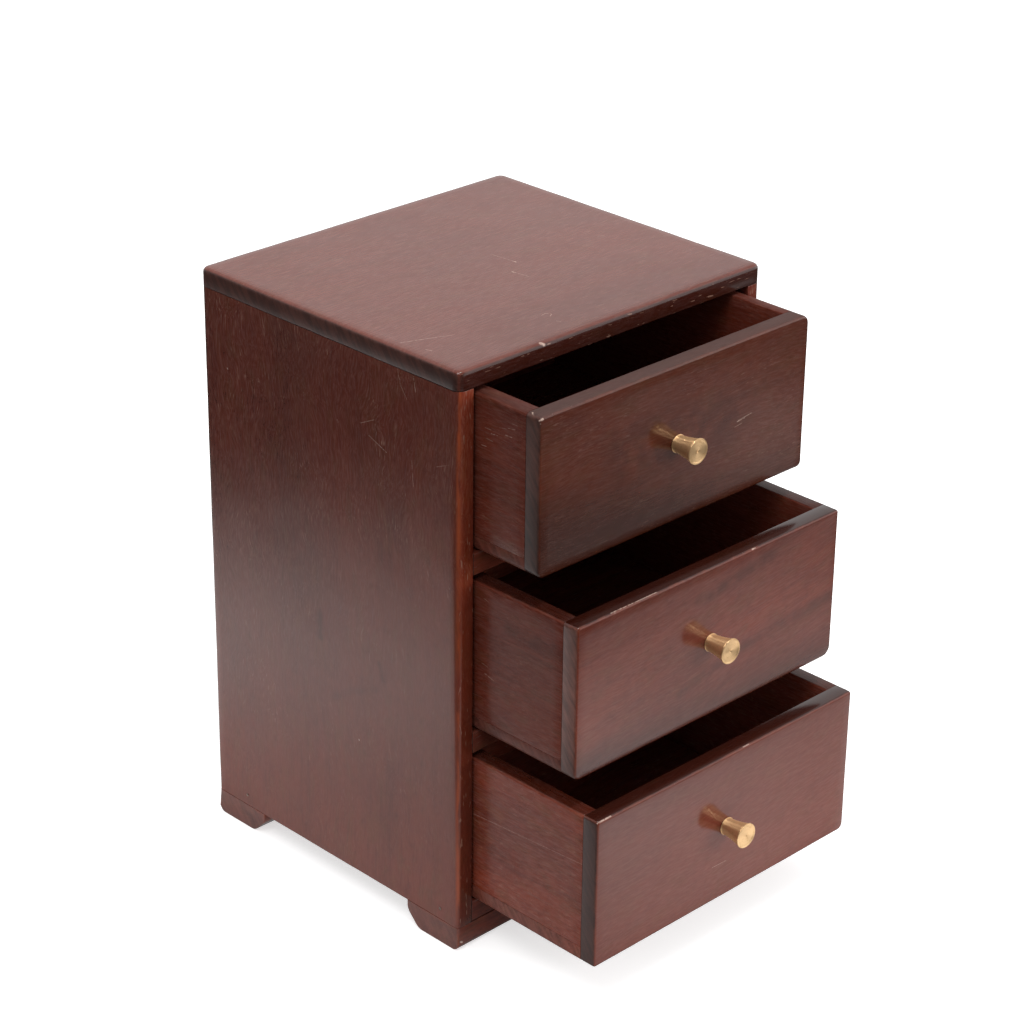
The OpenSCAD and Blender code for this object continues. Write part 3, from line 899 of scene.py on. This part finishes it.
# How the fronts differ; their shades and the brightness of their rims are painted shade
FRONT_LOOKS = {
    "upper": {
        "seed": 31.0, "tone": 0.82, "red": 0.45, "figure": 0.24, "fine": 0.8, "calm": 0.40,
        "stain": OLIVE_BROWN, "pores": 0.15, "pale": 0.6, "grit": 0.085, "end_tone": 1.30, "wear": 0.10,
        "rim_tone": 0.60, "rim_haze": 0.48,
        # Painted shade along the bottom edge, and a stretch darker towards the top
        "shades": (
            ((20.0, -84.0, 240.0), (12.0, -84.0, 208.0), 0.46),
            ((0.0, -84.0, 262.0), (0.0, -84.0, 290.0), 0.14),
        ),
        "smudges": (((-34.0, -83.7, 256.0), (34.0, -83.7, 252.0), 26.0),),
    },
    "middle": {
        "seed": 25.3, "tone": 1.12, "red": 0.70, "figure": 0.28, "tilt": 7.0, "fine": 0.8, "calm": 0.35,
        "pores": 0.12, "pale": 0.12, "grit": 0.066, "end_tone": 1.9, "wear": 0.25, "rim_tone": 0.30,
        "shades": (
            # Painted shade along the bottom edge, and the painted shadow of the drawer above along the top
            ((0.0, -109.0, 142.0), (0.0, -109.0, 116.0), 0.45),
            ((0.0, -109.0, 176.0), (0.0, -109.0, 200.0), 0.28),
        ),
        "smudges": (
            ((-20.0, -108.8, 138.0), (24.0, -108.8, 146.7), 5.0),
            ((24.0, -108.8, 146.7), (90.0, -108.8, 152.0), 6.0),
            ((-8.0, -108.8, 182.0), (40.0, -108.8, 188.0), 6.0),
        ),
    },
    "lower": {
        "seed": 20.0, "tone": 1.12, "red": 0.30, "figure": 0.10, "tilt": 4.0, "fine": 0.7, "calm": 0.55,
        "pores": 0.10, "pale": 0.05, "grit": 0.060, "end_tone": 0.5, "wear": 0.2, "rim_tone": 0.32,
        # The painted shadow of the drawer above along the top
        "shades": (((0.0, -124.0, 78.0), (0.0, -124.0, 106.0), 0.18),),
    },
}
# The saw marks on the fronts' ends are soft
FRONT_SAW = 0.26
# Scratches and knocks on the fronts and their arrises; the two at the upper front's top left corner are chips
# with a painted glint
FRONT_MARKS = {
    "upper": (
        ((41.5, -83.7, 249.6), (50.4, -83.7, 250.6), 0.30),
        ((40.5, -83.7, 249.1), (45.5, -83.7, 249.6), 0.40),
        ((39.0, -83.7, 246.8), (44.0, -83.7, 247.4), 0.25),
        ((-88.0, -83.3, 288.7), (-87.5, -83.5, 288.9), 0.80),
        ((-88.9, -82.6, 288.3), (-88.7, -82.9, 288.5), 0.60),
        ((-88.0, -78.0, 289.6), (-87.0, -76.6, 289.7), 0.60),
    ),
    "middle": (
        ((-67.5, -108.0, 196.7), (-38.0, -108.0, 196.7), 0.45),
        ((27.0, -108.3, 196.4), (29.0, -108.3, 196.6), 0.60),
    ),
    "lower": (
        ((-88.5, -123.0, 103.2), (-80.0, -123.2, 103.6), 0.60),
        ((10.0, -123.2, 103.6), (14.0, -123.2, 103.6), 0.50),
        ((-9.0, -123.7, 45.0), (1.5, -123.7, 44.8), 0.24),
    ),
}

# Brightness of the drawers' sides, and the painted light that makes the right sides and the bottoms brighter,
# for the shade inside the drawers
SIDE_TONES = {"upper": 0.88, "middle": 0.90, "lower": 1.42}
INNER_PAINTED_LIGHT = 1.2
# The rims of the drawers' sides: painted shade, roughness, and the strength of their reflections
DRAWER_SIDE_LOOKS = {
    "upper": {"rim_tone": 0.7, "rim_haze": 0.3, "lacquer": 0.2},
    "middle": {"rim_tone": 0.36, "lacquer": 0.2},
    "lower": {"rim_tone": 0.36, "lacquer": 0.28},
}
# Scuffs and the glue line of the drawers' left sides, and a stain on the middle one
DRAWER_SCUFFS = {
    "upper": (
        ((-47.0, 265.3), (-50.0, 265.4), 0.28),
        ((-49.0, 274.3), (-53.0, 274.3), 0.24),
        ((-53.0, 272.6), (-57.0, 272.9), 0.30),
        ((-58.5, 277.2), (-62.5, 277.9), 0.22),
        ((-62.0, 274.8), (-66.0, 274.9), 0.32),
        ((-63.5, 278.6), (-68.0, 279.3), 0.26),
        ((-65.5, 281.6), (-69.5, 281.5), 0.24),
        ((-50.0, 269.4), (-54.0, 269.2), 0.22),
    ),
    "middle": (
        ((-50.0, 151.0), (-56.0, 149.5), 0.30),
        ((-48.0, 155.8), (-52.0, 155.0), 0.25),
        ((-49.0, 189.5), (-52.0, 188.8), 0.25),
    ),
    "lower": (((-43.0, 72.8), (-116.0, 77.8), 0.24),),
}
DRAWER_STAINS = {"middle": (((-66.0, 179.0), (-101.0, 179.5), 8.0),)}

# Seeds of the lowest drawer's boards, and the step to those of the next drawer
BOARD_SEEDS = {"left": 40.0, "right": 50.0, "back": 60.0, "bottom": 70.0}
SEED_STEP = 3.1


def board_seed(drawer, board):
    return BOARD_SEEDS[board] + DRAWERS.index(drawer) * SEED_STEP


def drawer_shell(drawer):
    """The corners of the whole drawer, whose edges get worn."""
    front_low, front_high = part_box(drawer + "_drawer_front")
    back_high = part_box(drawer + "_drawer_back")[1]
    return front_low, Vector((front_high.x, back_high.y, front_high.z))


def drawer_front(drawer):
    node = drawer + "_drawer_front"
    low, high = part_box(node)
    piece = block(drawer + "_front_board", low, high)
    for corner, radius in zip(("-x-z", "+x-z", "+x+z", "-x+z"), OUTLINES[drawer]):
        round_edges(piece, low, high, (corner,), radius, CORNER_STEPS)
    round_rims(piece, low, high, ("-y",), FRONT_ARRIS, ARRIS_STEPS)
    round_rims(piece, low, high, ("+y",), TRAY_JOINT, SEAM_STEPS)
    hand_sand(piece, low, high, FRONT_SANDING)
    material = wood(
        "lacquered_" + node, low, high, "x", shell=drawer_shell(drawer), saw=FRONT_SAW,
        marks=FRONT_MARKS[drawer], **FRONT_LOOKS[drawer],
    )
    finish(piece, node, drawer + "_drawer", material)


def drawer_side(drawer, side):
    node = drawer + "_drawer_side_" + side
    low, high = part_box(node)
    if side == "left":
        outer, inner, radius, tone = "-x+z", "+x+z", OUTLINES[drawer][3], SIDE_TONES[drawer]
        scuffs = laid_on("-x", low, high, DRAWER_SCUFFS[drawer])
        stains = laid_on("-x", low, high, DRAWER_STAINS.get(drawer, ()))
    else:
        # The right side gets painted light for the shade inside the drawer
        outer, inner, radius, tone = "+x+z", "-x+z", OUTLINES[drawer][2], SIDE_TONES[drawer] * INNER_PAINTED_LIGHT
        scuffs = stains = ()
    piece = block(drawer + "_side_board_" + side, low, high)
    round_edges(piece, low, high, (outer,), radius, CORNER_STEPS)
    round_edges(piece, low, high, (inner,), SOFT, SOFT_STEPS)
    break_sharp(piece, TRAY_JOINT)
    hand_sand(piece, low, high, THIN_SANDING)
    material = wood(
        "lacquered_" + node, low, high, "y", board_seed(drawer, side), shell=drawer_shell(drawer), tone=tone,
        red=0.6, figure=0.35, wave=0.4, pale=0.6, pores=0.25, calm=0.2, grit=0.105, wear=0.2, satin=0.18,
        marks=scuffs, smudges=stains, **DRAWER_SIDE_LOOKS[drawer],
    )
    finish(piece, node, drawer + "_drawer", material)


def drawer_back(drawer):
    node = drawer + "_drawer_back"
    low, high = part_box(node)
    piece = block(drawer + "_back_board", low, high)
    round_edges(piece, low, high, ("-y+z", "+y+z"), SOFT, SOFT_STEPS)
    break_sharp(piece, TRAY_JOINT)
    hand_sand(piece, low, high, THIN_SANDING)
    # The high tone is painted light for the shade inside the drawer
    material = wood(
        "lacquered_" + node, low, high, "x", board_seed(drawer, "back"), shell=drawer_shell(drawer),
        tone=1.8, grit=0.05, wear=0.1,
    )
    finish(piece, node, drawer + "_drawer", material)


def drawer_bottom(drawer):
    node = drawer + "_drawer_bottom"
    low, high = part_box(node)
    piece = block(drawer + "_bottom_board", low, high)
    for edge, radius in zip(("-x-z", "+x-z"), OUTLINES[drawer]):
        round_edges(piece, low, high, (edge,), radius, CORNER_STEPS)
    break_sharp(piece, TRAY_JOINT)
    hand_sand(piece, low, high, THIN_SANDING)
    # The bottom's tone carries painted light for the shade inside the drawer
    material = wood(
        "lacquered_" + node, low, high, "x", board_seed(drawer, "bottom"), shell=drawer_shell(drawer),
        tone=SIDE_TONES[drawer] * INNER_PAINTED_LIGHT, pale=1.0, grit=0.06, end_mix=0.45, wear=0.1, lacquer=0.28,
    )
    finish(piece, node, drawer + "_drawer", material)


# ---- knobs ----

# The turned outline from the drawer's face outwards: distance and radius in millimetres
COLLAR = ((0.0, 4.40), (0.08, 4.50), (0.40, 4.50), (0.50, 4.42))
NECK = ((0.56, 4.30), (1.30, 4.30))
FLARE_END = 11.6
FLARE_RADIUS = 6.05
FLARE_BEND = 1.5
FLARE_STEPS = 12
RIM = ((11.70, 6.22), (11.80, 6.30), (12.32, 6.30), (12.46, 6.22), (12.50, 6.10))
FACE = ((12.50, 5.55), (12.38, 5.35), (12.30, 5.10), (12.22, 3.6), (12.20, 2.0), (12.20, 0.80))
CENTRE_MARK = ((12.14, 0.66), (11.95, 0.38), (11.84, 0.12))
KNOB_SEGMENTS = 72


def knob_outline():
    start, radius = NECK[-1]
    flare = []
    for step in range(1, FLARE_STEPS + 1):
        share = step / FLARE_STEPS
        out = start + (FLARE_END - start) * share
        flare.append((out, radius + (FLARE_RADIUS - radius) * share**FLARE_BEND))
    return COLLAR + NECK + tuple(flare) + RIM + FACE + CENTRE_MARK


def knob_foot(drawer):
    """The middle of a knob's foot, on the face of its drawer."""
    low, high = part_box(drawer + "_drawer_knob")
    return Vector(((low.x + high.x) / 2, high.y, (low.z + high.z) / 2))


def turn_knob(drawer):
    """Turns the knob of one drawer; the others are copies of it."""
    centre = knob_foot(drawer)
    outline = knob_outline()
    select_nothing()
    bpy.ops.mesh.primitive_circle_add(
        vertices=KNOB_SEGMENTS, radius=outline[0][1] * MM, fill_type="NGON", location=centre,
        rotation=(math.radians(90), 0, 0),
    )
    piece = bpy.context.active_object
    piece.name = drawer + "_turned_knob"
    piece.data.name = piece.name
    bpy.ops.object.transform_apply(location=True, rotation=True, scale=True)
    edit(piece, "FACE")
    bpy.ops.mesh.select_all(action="SELECT")
    for before, after in zip(outline, outline[1:]):
        forward = (0, (before[0] - after[0]) * MM, 0)
        bpy.ops.mesh.extrude_region_move(TRANSFORM_OT_translate={"value": forward})
        grow = after[1] / before[1]
        bpy.ops.transform.resize(value=(grow, 1, grow), center_override=centre)
    bpy.ops.mesh.select_all(action="SELECT")
    bpy.ops.mesh.normals_make_consistent(inside=False)
    leave_edit()
    return piece


def copy_knob(pattern, drawer, other):
    """A copy of one drawer's knob, with its own mesh, on another drawer."""
    pick(pattern)
    bpy.ops.object.duplicate(linked=False)
    piece = bpy.context.active_object
    piece.name = other + "_turned_knob"
    piece.data.name = piece.name
    bpy.ops.transform.translate(value=knob_foot(other) - knob_foot(drawer))
    bpy.ops.object.transform_apply(location=True, rotation=True, scale=True)
    return piece


def knobs():
    pattern = turn_knob(DRAWERS[0])
    pieces = [pattern] + [copy_knob(pattern, DRAWERS[0], other) for other in DRAWERS[1:]]
    for drawer, piece in zip(DRAWERS, pieces):
        material = brass("turned_brass_" + drawer, knob_foot(drawer))
        finish(piece, drawer + "_drawer_knob", drawer + "_drawer", material, KNOB_SMOOTH)


# ---- stage ----

# The camera looks at a point inside the chest from the front left and above, and is a little rolled
AIM = Vector((-0.0766, -0.0540, 0.2306))
AZIMUTH = math.radians(-44.56)
ELEVATION = math.radians(25.62)
ROLL = math.radians(0.6)
CAMERA_DISTANCE = 1.3
LENS = 101.8
SENSOR = 36.0


def camera():
    level = Vector((math.sin(AZIMUTH), -math.cos(AZIMUTH), 0))
    back = level * math.cos(ELEVATION) + Vector((0, 0, math.sin(ELEVATION)))
    right = Vector((math.cos(AZIMUTH), math.sin(AZIMUTH), 0))
    turn = Matrix((right, back.cross(right), back)).transposed().to_4x4() @ Matrix.Rotation(ROLL, 4, "Z")
    data = bpy.data.cameras.new("camera")
    data.lens = LENS
    data.sensor_width = SENSOR
    item = bpy.data.objects.new("camera", data)
    item.matrix_world = Matrix.Translation(AIM + back * CAMERA_DISTANCE) @ turn
    bpy.context.scene.collection.objects.link(item)
    bpy.context.scene.camera = item


# Soft boxes: place, the point they face, size, power in watts, and whether the chest mirrors them
SOFT_BOXES = {
    "overhead": ((0.2, 0.2, 1.5), (0, 0, 0.2), (1.3, 1.1), 8.5, False),
    "upper_left": ((-0.7, -0.4, 1.3), (0, 0, 0.2), (0.55, 0.55), 5, True),
    "knob_lamp": ((0.0, -0.35, 1.5), (0, -0.1, 0.2), (0.15, 0.15), 6, True),
    "front_right": ((0.9, -1.4, 0.6), (0, 0, 0.1), (1.0, 0.8), 17, False),
    "left": ((-1.5, 0.1, 0.5), (0, 0, 0.1), (1.0, 0.8), 3, False),
}


def soft_box(name, place, aim, size, power, mirrored):
    data = bpy.data.lights.new(name, "AREA")
    data.shape = "RECTANGLE"
    data.size, data.size_y = size
    data.energy = power
    item = bpy.data.objects.new(name, data)
    item.location = place
    item.rotation_euler = (Vector(aim) - Vector(place)).to_track_quat("-Z", "Y").to_euler()
    item.visible_camera = False
    item.visible_glossy = mirrored
    bpy.context.scene.collection.objects.link(item)


# The ways from the chest to the middle of the backdrop and to the lit wall in front of it
BACKDROP = (0.62, 0.62, 0.48)
FRONT_GLOW = (0.69, -0.72, 0.02)
# Brightness of the backdrop, the lit wall and the room in reflections, and of the soft light all round
BACKDROP_LIGHT = 0.82
WALL_LIGHT = 1.2
ROOM_LIGHT = 0.08
SOFT_LIGHT = 0.55
# Colours of the light and of the floor
WHITE = (1, 1, 1, 1)
PAPER = (0.8, 0.8, 0.8, 1)


def world():
    """White for the camera, a soft light, and in reflections a backdrop and a lit wall in a dim room."""
    studio = bpy.data.worlds.new("studio")
    bpy.context.scene.world = studio
    studio.use_nodes = True
    tree = studio.node_tree
    tree.nodes.clear()
    rays = add(tree, "LightPath", {})
    outwards = add(tree, "TexCoord", {})["Generated"]
    behind = ramp(tree, dot(tree, outwards, BACKDROP), 0.0, 0.55)
    before = ramp(tree, dot(tree, outwards, FRONT_GLOW), 0.60, 1.0)
    mirrored = total(tree, times(tree, behind, BACKDROP_LIGHT), times(tree, before, WALL_LIGHT), ROOM_LIGHT)
    seen = most(tree, rays["Is Camera Ray"], rays["Is Transmission Ray"])
    lit = add(tree, "Mix", {0: rays["Is Glossy Ray"], 2: SOFT_LIGHT, 3: mirrored})[0]
    strength = add(tree, "Mix", {0: seen, 2: lit, 3: 1.0})[0]
    light = add(tree, "Background", {"Color": WHITE, "Strength": strength})[0]
    output = tree.nodes.new("ShaderNodeOutputWorld")
    tree.links.new(light, output.inputs["Surface"])


# Painted pools of light on the floor, which glow for reflections and bounced light though no lamp lights
# them, and which the left side and the fronts mirror: middle, radius and brightness
POOLS = (
    ((-0.10, 0.25, 0.0), 0.41, 1.9),
    ((0.05, -0.12, 0.0), 0.36, 2.1),
    ((0.30, -0.31, 0.0), 0.16, 0.55),
    ((0.47, -0.42, 0.0), 0.17, 0.60),
)
DIM_FLOOR = 0.10
# What the floor adds to its own light for the camera, and to the pools for light that bounces softly
FLOOR_LIFT = 0.6
BOUNCE_GAIN = 1.4
FLOOR_SIZE = 8.0


def floor():
    """White paper with the chest's shadow on it; in reflections and bounced light it glows dimly, with
    painted pools of light and a painted shadow of the case.
    """
    select_nothing()
    bpy.ops.mesh.primitive_plane_add(size=FLOOR_SIZE, location=(0, 0, 0))
    sheet = bpy.context.active_object
    sheet.name = "floor"
    material = bpy.data.materials.new("paper_floor")
    material.use_nodes = True
    tree = material.node_tree
    tree.nodes.clear()
    rays = add(tree, "LightPath", {})
    place = add(tree, "TexCoord", {})["Object"]
    away = split(tree, vector(tree, "ABSOLUTE", place))
    # How far a point is outside the case's outline; the pools fade out towards it in a painted shadow of the
    # case
    outside = most(
        tree, maths(tree, "SUBTRACT", away[0], CASE_HIGH.x), maths(tree, "SUBTRACT", away[1], CASE_HIGH.y)
    )
    far_out = times(tree, ramp(tree, outside, 0.0, 0.2), 0.6)
    clear = total(tree, far_out, times(tree, ramp(tree, outside, -0.03, 0.03), 0.4))
    pools = [
        times(tree, ramp(tree, distance(tree, place, middle), radius, 0.0), brightness)
        for middle, radius, brightness in POOLS
    ]
    pool = total(tree, times(tree, total(tree, *pools), clear), DIM_FLOOR)
    gain = total(tree, times(tree, rays["Is Diffuse Ray"], BOUNCE_GAIN), 1.0)
    seen = most(tree, rays["Is Camera Ray"], rays["Is Transmission Ray"])
    bounced = most(tree, rays["Is Glossy Ray"], rays["Is Diffuse Ray"])
    paper = add(tree, "BsdfDiffuse", {"Color": PAPER})[0]
    lift = add(tree, "Emission", {"Color": WHITE, "Strength": times(tree, seen, FLOOR_LIFT)})[0]
    lit = add(tree, "AddShader", {0: paper, 1: lift})[0]
    # The painted pools glow in reflections and in bounced light
    mirrored = add(tree, "Emission", {"Color": WHITE, "Strength": times(tree, pool, gain)})[0]
    sheen = add(tree, "MixShader", {0: bounced, 1: lit, 2: mirrored})[0]
    output = tree.nodes.new("ShaderNodeOutputMaterial")
    tree.links.new(sheen, output.inputs["Surface"])
    sheet.data.materials.append(material)


# ---- the whole chest ----

top_panel()
side_panel("left", "-x")
side_panel("right", "+x")
for shelf_node, shelf_seed in SHELF_SEEDS.items():
    shelf(shelf_node, shelf_seed)
back_panel()
runner("front", "-y", "+y", 4.4, (RUNNER_KNOCK,))
runner("rear", "+y", "-y", 6.6)
for name in DRAWERS:
    drawer_front(name)
    drawer_side(name, "left")
    drawer_side(name, "right")
    drawer_back(name)
    drawer_bottom(name)
knobs()
dress_fasteners()

floor()
world()
for lamp, settings in SOFT_BOXES.items():
    soft_box(lamp, *settings)
camera()

bpy.context.scene.view_settings.view_transform = "Standard"
